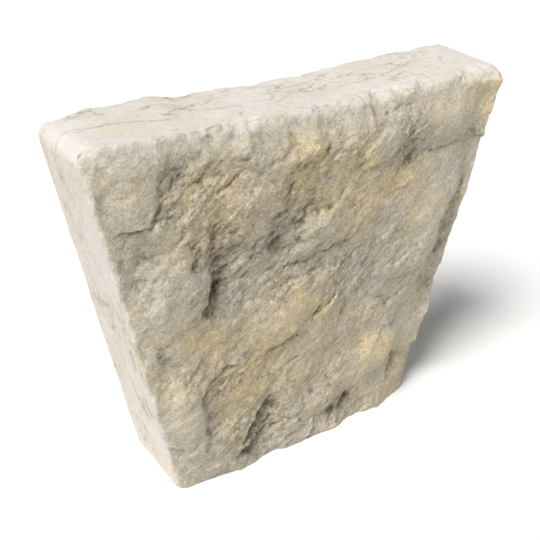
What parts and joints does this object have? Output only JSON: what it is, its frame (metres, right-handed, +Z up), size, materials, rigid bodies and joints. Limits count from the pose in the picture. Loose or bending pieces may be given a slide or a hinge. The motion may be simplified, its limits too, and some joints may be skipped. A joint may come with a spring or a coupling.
{
  "type": "stone keystone",
  "caption": "Rock-faced wedge-shaped keystone with a rough split front, a flat back bed, flat joint faces and a flat foot.",
  "frame": {"origin": "on the foot, midway across it and midway between the back bed and the plane through the front corners", "axes": "+Z up from the foot to the head, -Y out of the split face, +X to the right seen from the front"},
  "size_m": [0.3293, 0.0746, 0.2759],
  "materials": {
    "stone": "split cream limestone with ochre staining"
  },
  "bodies": {
    "root": {"keystone": "stone"}
  },
  "joints": []
}
